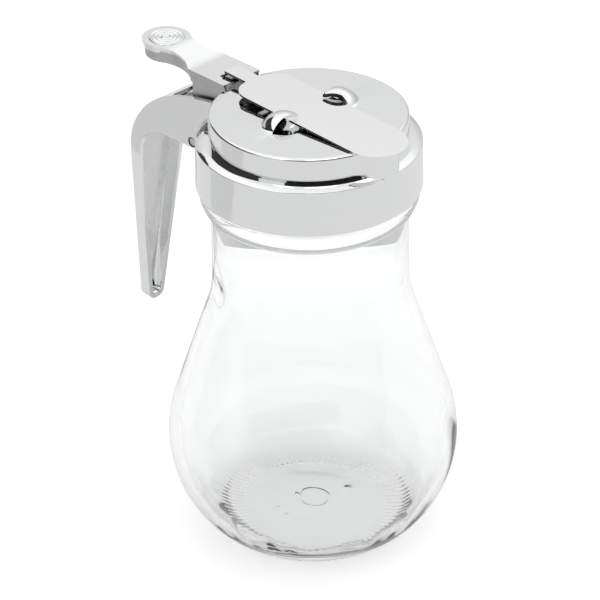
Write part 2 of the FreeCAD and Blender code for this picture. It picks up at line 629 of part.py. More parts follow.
def make_head():
    """One plated moulding: collar, drum, lid, spout, hooks and handle."""
    outside = fuse("HeadOutside", [make_turned_head(), make_spout(), make_handle()])
    passage = extrude("SpoutPassage", nose_plan("PassagePlan", "spout_wall"), vector(0, 0, 1),
                      "lid_height - lid_wall - rim_height - spout_floor",
                      start="rim_height + spout_floor")
    inside = fuse("HeadInside", [make_cavity(), passage])
    ceiling = "lid_height - lid_wall"
    kept = [
        box("RearWall", ("-drum_radius", "-drum_radius", "rim_height"),
            ("drum_radius - drum_flat + drum_wall", "2 * drum_radius", "lid_height - rim_height")),
        box("NotchCup", ("-drum_radius", "-notch_half_width - cup_wall",
                         "lid_height - notch_depth - cup_wall"),
            ("flat_depth + notch_reach + cup_wall", "2 * (notch_half_width + cup_wall)",
             "notch_depth + cup_wall")),
    ]
    cuts = []
    for tag, side in (("Near", "-"), ("Far", "")):
        at = ("hook_place", side + "hook_spread")
        kept.append(cylinder(tag + "Cup", "pocket_radius + cup_wall", "pocket_depth + cup_wall",
                             at + ("lid_height - pocket_depth - cup_wall",)))
        cuts.append(cylinder(tag + "Pocket", "pocket_radius", "pocket_depth + 1",
                             at + ("lid_height - pocket_depth",)))
    cuts += [
        cut("HeadHollow", inside, fuse("HeadKept", kept)),
        box("LeverSlot", ("-slot_end", "-slot_half_width", "lid_height - slot_drop"),
            ("slot_end - drum_flat", "2 * slot_half_width", "slot_drop + 1")),
        box("ArmOpening", ("-slot_end", "-slot_half_width", "lid_height - slot_drop - 2 * web"),
            ("slot_end - collar_radius - collar_gap", "2 * slot_half_width", "slot_drop")),
        box("LidNotch", ("-drum_flat - 1", "-notch_half_width", "lid_height - notch_depth"),
            ("notch_reach + 1", "2 * notch_half_width", "notch_depth + 1")),
        cylinder("Mouth", "mouth_radius", "lid_wall + 2", ("mouth_centre", "0", ceiling + " - 1")),
        cylinder("PinBore", "pin_radius", "2 * arm_half_width + 2",
                 ("-pin_reach", "-arm_half_width - 1", "pin_height"), along_y=True),
    ]
    for tag, low in (("Near", "-arm_half_width - 1"), ("Far", "arm_half_width - pin_sink")):
        cuts.append(cylinder(tag + "Sink", "pin_radius + pin_countersink", "pin_sink + 1",
                             ("-pin_reach", low, "pin_height"), along_y=True))
    hollowed = cut("HeadHollowed", outside, fuse("HeadCuts", cuts))
    hooked = fuse("HeadHooked", [hollowed, make_hook("NearHook", False), make_hook("FarHook", True)])
    # the gate's bed in the lid and its way under both hooks, in the plane of the tilted gate
    way = box("GateWay", ("0", "0", "0"), (
        "40", "2 * (gate_half_width + side_clearance)",
        "gate_thickness + gate_clearance + hook_clearance"), (vector(0, 1, 0), "gate_tilt"))
    place(way, {
        "x": "-10 * cos(gate_tilt) - gate_clearance * sin(gate_tilt)",
        "y": "-gate_half_width - side_clearance",
        "z": "lid_height + gate_rise + 10 * sin(gate_tilt) - gate_clearance * cos(gate_tilt)"})
    way.setExpression("Length", expr("gate_nose + gate_half_width + 12"))
    head = cut("Head", hooked, way)
    head.Label = "head"
    return head


# ---------------------------------------------------------------- the gate
def make_gate():
    """Thin sliding plate: round nose, rounded shoulders, tongue and turned-down tab."""
    body = doc.addObject("PartDesign::Body", "GateBody")
    body.Label = "gate"
    half = "gate_half_width"
    right = [
        ("gate_nose", "-" + half),
        ("gate_nose + " + half, "0", "arc", half),
        ("gate_nose", half, "arc", half),
    ]
    left = [
        ("-gate_back", half, "round", "gate_corner"),
        ("-gate_back", "tongue_half_width"),
        ("-tab_reach - gate_thickness", "tongue_half_width"),
        ("-tab_reach - gate_thickness", "-tongue_half_width"),
        ("-gate_back", "-tongue_half_width"),
        ("-gate_back", "-" + half, "round", "gate_corner"),
    ]
    plate_plan = outline("GatePlan", "XY_Plane", right + left, body)
    plate = body.newObject("PartDesign::Pad", "GatePlate")
    plate.Profile = plate_plan
    plate.setExpression("Length", expr("gate_thickness"))
    tab_plan = outline("TabPlan", "XY_Plane", [
        ("-tab_reach - gate_thickness", "-tab_half_width"),
        ("-tab_reach", "-tab_half_width"),
        ("-tab_reach", "tab_half_width"),
        ("-tab_reach - gate_thickness", "tab_half_width"),
    ], body)
    tab = body.newObject("PartDesign::Pad", "GateTab")
    tab.Profile = tab_plan
    tab.Reversed = True
    tab.setExpression("Length", expr("tab_drop"))
    body.Tip = tab
    return place(body, {"z": "lid_height + gate_rise"}, (vector(0, 1, 0), "gate_tilt"))


# ---------------------------------------------------------------- the thumb lever
def lever_run(drop, start="lever_front"):
    """Side view of the lever's top, lowered by drop: a level plate, a ramp and the pad."""
    plate = "(lid_height + lever_rise - %s)" % drop
    pad = "(lid_height + pad_rise - %s)" % drop
    return [
        (start, plate + " + (%s - lever_front) * tan(flat_slope)" % start),
        ("ramp_foot", plate + " + (ramp_foot - lever_front) * tan(flat_slope)",
         "round", "ramp_curve"),
        ("ramp_head", pad, "round", "ramp_curve"),
        ("lever_end", pad + " + (lever_end - ramp_head) * tan(pad_slope)"),
    ]


def lever_plan(name, inset, front):
    """Plan of the lever: a broad plate, a waist and the round thumb pad."""
    half, pad = "(lever_half_width - %s)" % inset, "(pad_radius - %s)" % inset
    curve = "(waist_place^2 + waist_half_width^2 - pad_radius^2)"
    curve = "(%s / (2 * (pad_radius - waist_half_width)) + %s)" % (curve, inset)
    away = "(waist_half_width - %s + %s)" % (inset, curve)
    share = "(%s / (%s + %s))" % (pad, pad, curve)
    shoulder = "(pad_centre - waist_place - sqrt(%s^2 - (%s - %s)^2))" % (curve, away, half)
    waist = ("pad_centre - waist_place * " + share, "%s * %s" % (away, share))
    return outline(name, PLAN_BEHIND, [
        (front, "-" + half),
        (shoulder, "-" + half),
        (waist[0], "-" + waist[1], "arc", "-" + curve),
        ("pad_centre + " + pad, "0", "arc", pad),
        (waist[0], waist[1], "arc", pad),
        (shoulder, half, "arc", "-" + curve),
        (front, half),
    ])


def make_pad_rings():
    """Raised grip rings on the thumb pad, tilted with the plate."""
    rim = "4 * ring_pitch + ring_width"
    corners = [("0", "-lever_plate / 4"), (rim, "-lever_plate / 4")]
    for ring in (4, 3, 2, 1):
        for shift, level in (("ring_width", "ring_root"), ("ring_width / 3", "ring_height"),
                             ("-ring_width / 3", "ring_height"), ("-ring_width", "ring_root")):
            corners.append(("%d * ring_pitch + %s" % (ring, shift), level))
    corners.append(("0", "ring_root"))
    rings = revolve("PadRings", outline("PadRingOutline", TURNED, corners))
    level = "lid_height + pad_rise + (pad_centre - ramp_head) * tan(pad_slope)"
    return place(rings, {"x": "-pad_centre", "z": level}, (vector(0, 1, 0), "pad_slope"))


def make_lever():
    """Moulded lever: lipped top plate, skirt, and two cheeks that go down to the pin."""
    up, across = vector(0, 0, 1), vector(0, 1, 0)
    low = "(pin_height - ear_radius - 1)"
    tall = "lid_height + pad_rise + 1 - " + low

    def column(name, inset, front):
        return extrude(name, lever_plan(name + "Plan", inset, front), up, tall, start=low)

    def layer(name, inset, top, under, front="lever_front"):
        """Part of the lever between two side views, drawn in by inset."""
        side = outline(name + "Outline", BEHIND, lever_run(top, front) + under)
        solid = extrude(name + "Side", side, across, "4 * lever_half_width", True)
        return common(name, [column(name + "Column", inset, front), solid])

    plate = layer("LeverPlate", "0", "0", lever_run("lever_edge")[::-1])
    band = layer("LeverBand", "lever_lip", "lever_edge / 2",
                 lever_run("(lever_edge + lever_band)")[::-1])
    skirt = layer("LeverSkirt", "(2 * lever_lip)", "lever_edge", [
        ("lever_end", "lid_height - skirt_drop"),
        ("cheek_back", "lid_height - skirt_shoulder"),
        ("cheek_back", "lid_height - slot_drop - 2"),
        ("pin_reach + ear_radius", "pin_height"),
        ("pin_reach", "pin_height - ear_radius", "arc", "-ear_radius"),
        ("pin_reach - ear_radius", "pin_height", "arc", "-ear_radius"),
        ("collar_radius + cheek_play", "lid_height - slot_drop + cheek_play"),
        ("lever_front", "lid_height - cheek_drop"),
    ])
    hollow = layer("LeverHollow", "(2 * lever_lip + lever_wall)", "lever_plate",
                   [("lever_end", low), ("lever_front - 1", low)], "lever_front - 1")
    notch_half = "(tongue_half_width + slit_play)"
    cuts = fuse("LeverCuts", [
        hollow,
        box("LeverNotch", ("-tab_reach", "-" + notch_half, "lid_height - 2 * lever_plate"),
            ("tab_reach - lever_front + 1", "2 * " + notch_half, "4 * lever_plate")),
        box("LeverSlit", ("-tab_reach + slit_play - slit_width", "-slit_half_width",
                          "lid_height - 2 * lever_plate"),
            ("slit_width", "2 * slit_half_width", "4 * lever_plate")),
        cylinder("EarBore", "pin_radius + pin_play", "4 * lever_half_width",
                 ("-pin_reach", "-2 * lever_half_width", "pin_height"), along_y=True),
    ])
    lever = cut("Lever", fuse("LeverSolid", [plate, band, skirt, make_pad_rings()]), cuts)
    lever.Label = "thumb_lever"
    return lever


def make_pin():
    """Pin that the lever turns on, pressed through both walls of the arm."""
    body = doc.addObject("PartDesign::Body", "PinBody")
    body.Label = "pivot_pin"
    sketch = new_sketch("PinCircle", "XZ_Plane", body)
    ring = sketch.addGeometry(Part.Circle(vector(), vector(0, 0, 1), value("pin_radius")), False)
    sketch.addConstraint(Sketcher.Constraint("Coincident", ring, 3, -1, 1))
    bind(sketch, "Radius", "pin_size", "pin_radius", ring)
    shaft = body.newObject("PartDesign::Pad", "PinShaft")
    shaft.Profile = sketch
    shaft.Midplane = True
    shaft.setExpression("Length", expr("2 * (arm_half_width - pin_sink)"))
    body.Tip = shaft
    return place(body, {"x": "-pin_reach", "z": "pin_height"})


def export(pieces):
    """Check every object of the document, then write one STEP file for each piece."""
    doc.recompute()
    for item in doc.Objects:
        if "Invalid" in item.State or "Error" in item.State:
            raise RuntimeError("%s did not compute: %s" % (item.Name, item.State))
    for piece in pieces:
        shape = piece.Shape
        if shape.isNull() or not shape.isValid() or len(shape.Solids) != 1:
            raise RuntimeError("%s is not one valid solid" % piece.Label)
    os.makedirs("parts", exist_ok=True)
    for piece in pieces:
        piece.Shape.exportStep("parts/%s.step" % piece.Label)
        bounds = piece.Shape.BoundBox
        print("%-12s %9.1f mm3  x %.1f..%.1f  y %.1f..%.1f  z %.1f..%.1f" % (
            piece.Label, piece.Shape.Volume, bounds.XMin, bounds.XMax,
            bounds.YMin, bounds.YMax, bounds.ZMin, bounds.ZMax))


export([make_jar(), make_head(), make_gate(), make_lever(), make_pin()])
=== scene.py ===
"""Glass syrup dispenser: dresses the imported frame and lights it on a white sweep."""
import math

import bmesh
import bpy
from bpy.props import FloatProperty, FloatVectorProperty, IntProperty, PointerProperty
from mathutils import Euler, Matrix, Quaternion, Vector


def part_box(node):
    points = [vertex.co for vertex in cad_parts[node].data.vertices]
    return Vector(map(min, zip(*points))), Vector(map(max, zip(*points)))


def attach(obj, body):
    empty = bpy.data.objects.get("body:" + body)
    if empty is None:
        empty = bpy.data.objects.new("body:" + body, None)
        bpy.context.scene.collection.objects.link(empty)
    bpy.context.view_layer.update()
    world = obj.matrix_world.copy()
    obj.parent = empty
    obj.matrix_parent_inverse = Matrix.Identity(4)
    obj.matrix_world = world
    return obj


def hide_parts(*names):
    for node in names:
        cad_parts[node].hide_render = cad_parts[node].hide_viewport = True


bl_info = {
    "name": "Syrup dispenser",
    "version": (1, 0, 0),
    "blender": (4, 5, 0),
    "location": "3D View > Sidebar > Dispenser",
    "description": "Builds the glass jar, the plated head, the lever and the gate, and a studio",
    "category": "Object",
}

MM = 0.001
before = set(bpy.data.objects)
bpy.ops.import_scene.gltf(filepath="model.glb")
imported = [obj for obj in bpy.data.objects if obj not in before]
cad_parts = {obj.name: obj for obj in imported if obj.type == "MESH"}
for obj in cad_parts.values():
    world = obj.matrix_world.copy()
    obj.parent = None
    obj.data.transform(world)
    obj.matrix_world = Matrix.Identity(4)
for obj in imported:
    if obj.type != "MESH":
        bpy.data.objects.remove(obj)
JAR_LOW, JAR_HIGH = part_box("glass_jar")
HEAD_LOW, HEAD_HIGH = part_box("head")
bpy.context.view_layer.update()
# turns between two faces: an edge kept crisp, an edge of lever or gate that is rounded, the
# end of an upright wall, and the collar's top rim
CRISP, ROUNDED, WALL_END, RIM = (math.radians(turn) for turn in (36, 58, 18, 50))


# ---------------------------------------------------------------- sizes and colours
class JarSettings(bpy.types.PropertyGroup):
    """Outline and finish of the blown jar."""

    belly_radius: FloatProperty(
        name="Belly radius", description="Outer radius at the widest level",
        default=46.65 * MM, unit="LENGTH")
    belly_height: FloatProperty(
        name="Belly height", description="Level of the widest place", default=32.6 * MM,
        unit="LENGTH")
    curve: FloatProperty(
        name="Belly and neck curve", description="Radius of both curves of the side",
        default=40 * MM, unit="LENGTH")
    neck_radius: FloatProperty(
        name="Neck radius", description="Outer radius of the straight neck",
        default=31.1 * MM, unit="LENGTH")
    neck_start: FloatProperty(
        name="Neck start", description="Level where the neck becomes straight",
        default=92.1 * MM, unit="LENGTH")
    bead_foot: FloatProperty(
        name="Bead foot", description="Level where the bead leaves the neck",
        default=113.9 * MM, unit="LENGTH")
    bead_top: FloatProperty(
        name="Bead top", description="Level of the bead's flat top", default=121.9 * MM,
        unit="LENGTH")
    bead_radius: FloatProperty(
        name="Bead radius", description="Outer radius of the bead", default=34.4 * MM,
        unit="LENGTH")
    finish_radius: FloatProperty(
        name="Finish radius", description="Outer radius under the head", default=31.6 * MM,
        unit="LENGTH")
    heel_curve: FloatProperty(
        name="Heel curve", description="Radius between the foot ring and the belly",
        default=5 * MM, unit="LENGTH")
    foot_width: FloatProperty(
        name="Foot width", description="Width of the flat of the foot ring",
        default=3.2 * MM, unit="LENGTH")
    push_up: FloatProperty(
        name="Push-up", description="Rise of the middle under the foot", default=1.6 * MM,
        unit="LENGTH")
    floor_curve: FloatProperty(
        name="Floor curve", description="Radius between the floor and the wall inside",
        default=9 * MM, unit="LENGTH")
    bead_curve: FloatProperty(
        name="Bead curve", description="Radius of the bead's lower side", default=9 * MM,
        unit="LENGTH")
    rim_round: FloatProperty(
        name="Rim round", description="Rounding of the bead's and the rim's edges",
        default=0.8 * MM, unit="LENGTH")
    wall: FloatProperty(
        name="Wall", description="Thickness of the glass", default=3 * MM, unit="LENGTH")
    base: FloatProperty(
        name="Base", description="Thickness of the glass under the floor", default=6.5 * MM,
        unit="LENGTH")
    knurls: IntProperty(
        name="Knurls", description="Ribs round the foot ring", default=84, min=12)
    knurl_depth: FloatProperty(
        name="Knurl depth", description="Depth between the ribs of the foot ring",
        default=0.2 * MM, unit="LENGTH")
    mark_depth: FloatProperty(
        name="Mark depth", description="Depth of the plain ring and dots under the foot",
        default=0.3 * MM, unit="LENGTH")
    mark_radius: FloatProperty(
        name="Mark radius", description="Radius of the plain ring under the foot",
        default=5.5 * MM, unit="LENGTH")
    mark_width: FloatProperty(
        name="Mark width", description="Half width of the plain ring under the foot",
        default=0.55 * MM, unit="LENGTH")
    seam_height: FloatProperty(
        name="Seam height", description="How far the mould's seam stands out",
        default=0.12 * MM, unit="LENGTH")
    seam_width: FloatProperty(
        name="Seam width", description="Half width of the mould's seam", default=0.35 * MM,
        unit="LENGTH")
    seam_angle: FloatProperty(
        name="Seam angle", description="Where the mould's seam runs, in degrees from the spout",
        default=-50.0)
    ripple: FloatProperty(
        name="Ripple", description="Unevenness of the inner surface", default=0.28 * MM,
        unit="LENGTH")
    tint: FloatVectorProperty(
        name="Tint", description="Colour of thick glass", subtype="COLOR", size=3,
        default=(0.985, 0.99, 0.99), min=0, max=1)


class MetalSettings(bpy.types.PropertyGroup):
    """Plated head and lever, steel gate and pin."""

    plating: FloatVectorProperty(
        name="Plating", description="Tone of the mirror plating", subtype="COLOR", size=3,
        default=(0.86, 0.865, 0.87), min=0, max=1)
    rough: FloatVectorProperty(
        name="Rough plating", description="Tone of the grip's unpolished channel",
        subtype="COLOR", size=3, default=(0.74, 0.74, 0.745), min=0, max=1)
    # partly the skirt's own rough cast finish, partly painted shade: the darker tone stands in
    # for the shade under the lever's lip
    cast: FloatVectorProperty(
        name="Cast skirt and painted shade", description="Tone of the lever's unpolished skirt",
        subtype="COLOR", size=3, default=(0.5, 0.5, 0.5), min=0, max=1)
    steel: FloatVectorProperty(
        name="Steel", description="Tone of the polished sheet", subtype="COLOR", size=3,
        default=(0.88, 0.88, 0.88), min=0, max=1)
    wire: FloatVectorProperty(
        name="Wire", description="Tone of the pivot pin", subtype="COLOR", size=3,
        default=(0.62, 0.62, 0.62), min=0, max=1)
    # painted shade: a near-black tone that stands in for the shade in the gap of the countersink
    # round the pin
    painted_sink_shade: FloatVectorProperty(
        name="Sink", description="Tone of the painted shade in the countersink round the pin",
        subtype="COLOR", size=3, default=(0.07, 0.07, 0.07), min=0, max=1)
    haze: FloatProperty(
        name="Haze", description="Least roughness of the plating", default=0.03, min=0, max=1)
    edge: FloatProperty(
        name="Edge", description="Rounding of the lever's and the gate's edges",
        default=0.12 * MM, unit="LENGTH")
    rim: FloatProperty(
        name="Rim", description="Rounding of the collar's top rim", default=0.3 * MM,
        unit="LENGTH")


class StudioSettings(bpy.types.PropertyGroup):
    """Camera and light."""

    azimuth: FloatProperty(
        name="Azimuth", description="Direction the camera looks from, round the jar",
        default=math.radians(46.0), subtype="ANGLE")
    elevation: FloatProperty(
        name="Elevation", description="Height of the camera above the horizon",
        default=math.radians(30.63), subtype="ANGLE")
    roll: FloatProperty(
        name="Roll", description="Tilt of the picture", default=math.radians(-0.95),
        subtype="ANGLE")
    distance: FloatProperty(
        name="Distance", description="From the camera to the point it looks at", default=1.0,
        unit="LENGTH")
    aim: FloatVectorProperty(
        name="Aim", description="Point in the middle of the picture", subtype="XYZ", size=3,
        default=(-2.0 * MM, -3.0 * MM, 80.3 * MM), unit="LENGTH")
    lens: FloatProperty(
        name="Lens", description="Focal length in millimetres", default=190.2)
    sky: FloatProperty(
        name="Sky", description="Strength of the white room", default=0.91, min=0)
    floor_glow: FloatProperty(
        name="Floor glow", description="Light that lifts the floor to white for the camera",
        default=0.66, min=0)
    glass_glow: FloatProperty(
        name="Glass glow", description="Light that lifts the floor where glass shows it",
        default=0.27, min=0)
    mirrored_glow: FloatProperty(
        name="Mirrored glow", description="Light that lifts the floor in mirror images",
        default=0.27, min=0)


# ---------------------------------------------------------------- helpers
def new_object(name, mesh, body, nodes):
    """Link a piece, let it ride on its body and let it stand for its frame nodes."""
    piece = bpy.data.objects.new(name, mesh)
    bpy.context.scene.collection.objects.link(piece)
    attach(piece, body)
    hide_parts(*nodes)
    return piece


def edge_turns(mesh):
    """Yield each edge between two faces with their normals and the angle between these."""
    sides = {}
    for face in mesh.polygons:
        for key in face.edge_keys:
            sides.setdefault(key, []).append(face.normal)
    for edge in mesh.edges:
        facing = sides.get(edge.key, [])
        if len(facing) == 2:
            yield edge, facing, facing[0].angle(facing[1])


def mark_wall_ends(mesh):
    """Keep the edge crisp where an upright wall ends against a sloping face."""
    upright = 0.02
    for edge, facing, turn in edge_turns(mesh):
        if turn > WALL_END and min(abs(normal.z) for normal in facing) < upright:
            edge.use_edge_sharp = True


def add_bevel(piece, name, width, segments, limit):
    """Round the edges that the limit, an angle or the edges' own weights, picks."""
    bevel = piece.modifiers.new(name, "BEVEL")
    bevel.width = width
    bevel.segments = segments
    bevel.limit_method = limit
    bevel.harden_normals = True
    return bevel


def round_rim(piece, width):
    """Break the collar's top rim, where the ledge meets the upright wall."""
    mesh = piece.data
    least, most = 0.98 * HEAD_HIGH[1], 1.01 * HEAD_HIGH[1]
    level = 0.8
    weight = mesh.attributes.new("bevel_weight_edge", "FLOAT", "EDGE")
    for edge, facing, turn in edge_turns(mesh):
        ends = [mesh.vertices[number].co for number in edge.vertices]
        if (turn > RIM and max(normal.z for normal in facing) > level
                and all(least < math.hypot(end.x, end.y) < most for end in ends)):
            weight.data[edge.index].value = 1.0
    add_bevel(piece, "Rounded rim", width, 3, "WEIGHT")
    # the bevel comes before the shading that refined_copy added
    piece.modifiers.move(len(piece.modifiers) - 1, 0)


def refined_copy(name, node, body, edge=0.0):
    """Copy a frame node's mesh with joined vertices, smooth curves and crisp edges."""
    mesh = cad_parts[node].data.copy()
    mesh.materials.clear()
    work = bmesh.new()
    work.from_mesh(mesh)
    bmesh.ops.remove_doubles(work, verts=work.verts, dist=0.001 * MM)
    work.to_mesh(mesh)
    work.free()
    mesh.shade_smooth()
    mesh.set_sharp_from_angle(angle=CRISP)
    mark_wall_ends(mesh)
    piece = new_object(name, mesh, body, [node])
    if edge:
        add_bevel(piece, "Rounded edges", edge, 2, "ANGLE").angle_limit = ROUNDED
    piece.modifiers.new("Even shading", "WEIGHTED_NORMAL").keep_sharp = True
    return piece


def blown(profile, steps, form):
    """Mesh of a profile of (radius, height) points turned round the Z axis.

    form(angle, point number, radius, height) gives the moved radius and height.
    """
    work = bmesh.new()
    rings = []
    for number, (radius, height) in enumerate(profile):
        if radius < 1e-7:
            rings.append([work.verts.new((0, 0, height))])
            continue
        ring = []
        for k in range(steps):
            angle = 2 * math.pi * k / steps
            moved, level = form(angle, number, radius, height)
            ring.append(work.verts.new((moved * math.cos(angle), moved * math.sin(angle), level)))
        rings.append(ring)
    for first, second in zip(rings, rings[1:]):
        for k in range(steps):
            n = (k + 1) % steps
            corners = [first[k % len(first)], first[n % len(first)],
                       second[n % len(second)], second[k % len(second)]]
            work.faces.new(list(dict.fromkeys(corners)))
    bmesh.ops.recalc_face_normals(work, faces=work.faces)
    mesh = bpy.data.meshes.new("Turned")
    work.to_mesh(mesh)
    work.free()
    mesh.shade_smooth()
    return mesh


def arc(centre, radius, start, end, count):
    """Points on an arc in the profile plane, angles in degrees."""
    return [(centre[0] + radius * math.cos(math.radians(start + (end - start) * k / count)),
             centre[1] + radius * math.sin(math.radians(start + (end - start) * k / count)))
            for k in range(count + 1)]


# ---------------------------------------------------------------- materials
def new_material(name):
    """Material with nodes: itself, its nodes, its links and its shader."""
    material = bpy.data.materials.new(name)
    material.use_nodes = True
    nodes, links = material.node_tree.nodes, material.node_tree.links
    return material, nodes, links, nodes["Principled BSDF"]


def group_input(group, name, default):
    """Add a number that each use of the group can set."""
    socket = group.interface.new_socket(name, in_out="INPUT", socket_type="NodeSocketFloat")
    socket.default_value = default


def polish_group():
    """Fine unevenness of a polished surface: a soft height and a faint smudge mask."""
    name = "Polish marks"
    if name in bpy.data.node_groups:
        return bpy.data.node_groups[name]
    group = bpy.data.node_groups.new(name, "ShaderNodeTree")
    group_input(group, "Wave size", 60.0)
    group_input(group, "Smudge size", 140.0)
    group_input(group, "Least", 0.03)
    group_input(group, "Most", 0.09)
    group.interface.new_socket("Height", in_out="OUTPUT", socket_type="NodeSocketFloat")
    group.interface.new_socket("Roughness", in_out="OUTPUT", socket_type="NodeSocketFloat")
    nodes, links = group.nodes, group.links
    given, out = nodes.new("NodeGroupInput"), nodes.new("NodeGroupOutput")
    place = nodes.new("ShaderNodeTexCoord")
    wave, smudge = nodes.new("ShaderNodeTexNoise"), nodes.new("ShaderNodeTexNoise")
    wave.inputs["Detail"].default_value = 1.0
    smudge.inputs["Detail"].default_value = 4.0
    spread = nodes.new("ShaderNodeMapRange")
    spread.inputs["From Min"].default_value = 0.45
    spread.inputs["From Max"].default_value = 0.75
    links.new(place.outputs["Object"], wave.inputs["Vector"])
    links.new(place.outputs["Object"], smudge.inputs["Vector"])
    links.new(given.outputs["Wave size"], wave.inputs["Scale"])
    links.new(given.outputs["Smudge size"], smudge.inputs["Scale"])
    links.new(smudge.outputs["Fac"], spread.inputs["Value"])
    links.new(given.outputs["Least"], spread.inputs["To Min"])
    links.new(given.outputs["Most"], spread.inputs["To Max"])
    links.new(wave.outputs["Fac"], out.inputs["Height"])
    links.new(spread.outputs["Result"], out.inputs["Roughness"])
    return group


def add_polish(nodes, links, shader, wave, least, most, strength, bump):
    """Give a shader the marks of a polished surface: roughness and faint waves."""
    marks = nodes.new("ShaderNodeGroup")
    marks.node_tree = polish_group()
    marks.inputs["Wave size"].default_value = wave
    marks.inputs["Least"].default_value = least
    marks.inputs["Most"].default_value = most
    relief = nodes.new("ShaderNodeBump")
    relief.inputs["Strength"].default_value = strength
    relief.inputs["Distance"].default_value = bump
    links.new(marks.outputs["Height"], relief.inputs["Height"])
    links.new(marks.outputs["Roughness"], shader.inputs["Roughness"])
    links.new(relief.outputs["Normal"], shader.inputs["Normal"])


def metal(name, colour, least, most, wave, bump):
    """Mirror-like metal with faint waves and smudges."""
    material, nodes, links, shader = new_material(name)
    shader.inputs["Base Color"].default_value = (*colour, 1)
    shader.inputs["Metallic"].default_value = 1.0
    add_polish(nodes, links, shader, wave, least, most, strength=0.5, bump=bump)
    return material


def clear_glass(settings):
    """Clear soda glass, slightly darker where it is thick."""
    material, nodes, links, shader = new_material("Clear glass")
    shader.inputs["Base Color"].default_value = (*settings.tint, 1)
    shader.inputs["Metallic"].default_value = 0.0
    shader.inputs["Transmission Weight"].default_value = 1.0
    shader.inputs["IOR"].default_value = 1.5
    add_polish(nodes, links, shader, wave=45.0, least=0.0, most=0.012, strength=0.4,
               bump=0.4 * MM)
    return material


# ---------------------------------------------------------------- the jar
def side_curves(jar):
    """Centres of the belly's and the neck's curve, and the angle at which they meet."""
    belly = Vector((jar.belly_radius - jar.curve, jar.belly_height))
    neck = Vector((jar.neck_radius + jar.curve, jar.neck_start))
    line = neck - belly
    lean = math.degrees(math.atan2(line.y, line.x) - math.acos(2 * jar.curve / line.length))
    return belly, neck, lean


def jar_profile(jar):
    """Closed section of the jar from the middle of the foot round to the middle of the floor.

    Gives the points, the number of the first one inside and the foot ring's inner radius.
    """
    belly, neck, lean = side_curves(jar)
    heel, corner, edge = jar.heel_curve, jar.floor_curve, jar.rim_round
    drop = belly.y - heel
    heel_centre = (belly.x + math.sqrt((jar.curve - heel) ** 2 - drop ** 2), heel)
    heel_angle = math.degrees(math.atan2(heel_centre[1] - belly.y, heel_centre[0] - belly.x))
    ring = heel_centre[0] - jar.foot_width
    steps = 50
    points = [(ring * k / steps, jar.push_up * (1 - (k / steps) ** 2)) for k in range(steps + 1)]
    points += arc(heel_centre, heel, -90, heel_angle, 12)
    points += arc(belly, jar.curve, heel_angle, lean, 36)[1:]
    points += arc(neck, jar.curve, 180 + lean, 180, 14)
    bead_centre = (jar.bead_radius - jar.bead_curve, jar.bead_top - edge)
    foot_angle = math.degrees(math.asin((jar.bead_foot - bead_centre[1]) / jar.bead_curve))
    points += arc(bead_centre, jar.bead_curve, foot_angle, 0, 12)
    points += arc((jar.bead_radius - edge, jar.bead_top - edge), edge, 0, 90, 4)[1:]
    points += [(jar.finish_radius, jar.bead_top)]
    top = JAR_HIGH[2]
    outer = len(points)
    points += arc((jar.finish_radius - edge, top - edge), edge, 0, 90, 4)
    inner_neck = jar.neck_radius - jar.wall
    points += arc((inner_neck + edge, top - edge), edge, 90, 180, 4)
    size = jar.curve - jar.wall
    points += [(inner_neck, top - (top - jar.neck_start) * k / 8) for k in range(1, 8)]
    points += arc(neck, jar.curve + jar.wall, 180, 180 + lean, 14)
    level = jar.base + corner
    floor_centre = (belly.x + math.sqrt((size - corner) ** 2 - (belly.y - level) ** 2), level)
    floor_angle = math.degrees(math.atan2(level - belly.y, floor_centre[0] - belly.x))
    points += arc(belly, size, lean, floor_angle, 36)
    points += arc(floor_centre, corner, floor_angle, -90, 16)[1:]
    points += [(floor_centre[0] * k / 12, jar.base) for k in range(11, -1, -1)]
    return points, outer, ring


# waves of the blown wall: amount, turns round the jar, turns from foot to rim, phase
WAVES = ((0.45, 2, 1.3, 0.4), (0.35, 3, 2.1, 2.0), (0.25, 5, 1.1, 4.1), (0.2, 7, 3.2, 0.9),
         (0.12, 11, 2.4, 5.2))
# ripples of the floor: amount, turns round the jar, how far they sway, turns of the sway
FLOOR_WAVES = ((0.8, 13, 1.3, 3), (0.3, 29, 2.0, 5))
# mould marks under the foot: how far out, angle and radius of each round dot
DOTS = ((13.5, -1.9, 1.3), (13.5, -1.5, 1.3), (13.5, -1.1, 1.3), (13.5, 1.3, 1.3))


def unevenness(angle, height):
    """Smooth waves of a blown surface, between about -1 and 1."""
    turns = 2 * math.pi * height / JAR_HIGH[2]
    return sum(size * math.sin(round_ * angle + along * turns + phase)
               for size, round_, along, phase in WAVES)


